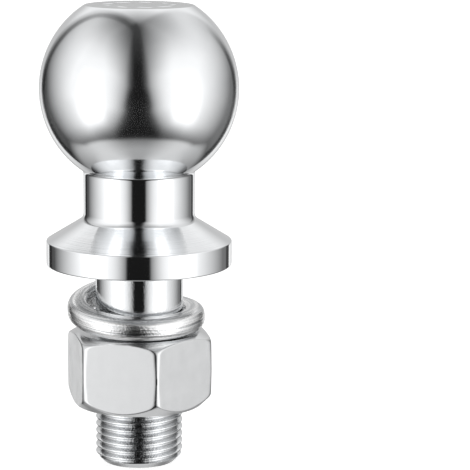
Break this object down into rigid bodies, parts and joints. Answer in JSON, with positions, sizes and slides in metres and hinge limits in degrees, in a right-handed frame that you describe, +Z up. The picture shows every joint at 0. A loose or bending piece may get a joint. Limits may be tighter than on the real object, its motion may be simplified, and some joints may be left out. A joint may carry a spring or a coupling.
{
  "type": "tow ball",
  "caption": "Chromed tow ball with a flat top, a necked collar and a threaded shank that carries a hexagon nut and a loose split spring washer.",
  "frame": {"origin": "centre of the collar's flat underside, on the shank's axis, where the tow bar's plate seats", "axes": "+Z up the shank's axis towards the ball; the view in the picture looks along +Y, with +X to the right"},
  "size_m": [0.05, 0.05, 0.1164],
  "materials": {
    "chromed_steel": "polished chrome over turned steel",
    "rolled_spring_steel": "bright plated, with rolling lines round the wire",
    "plated_nut_steel": "satin bright plating on forged flats"
  },
  "bodies": {
    "stud": {"ball_stud": "chromed_steel"},
    "washer": {"spring_washer": "rolled_spring_steel"},
    "nut": {"hex_nut": "plated_nut_steel"}
  },
  "joints": [
    {"name": "nut_travel", "type": "slide", "parent": "stud", "child": "washer", "axis": [0, 0, 1], "range_m": [-0.03085, 0.00363]},
    {"name": "nut_turn", "type": "hinge", "parent": "washer", "child": "nut", "pos_m": [0, 0, 0], "axis": [0, 0, 1], "range_deg": [-6120, 720]}
  ],
  "couplings": [
    {"joint": "nut_travel", "follows": "nut_turn", "m_per_rad": 0.00028875}
  ]
}
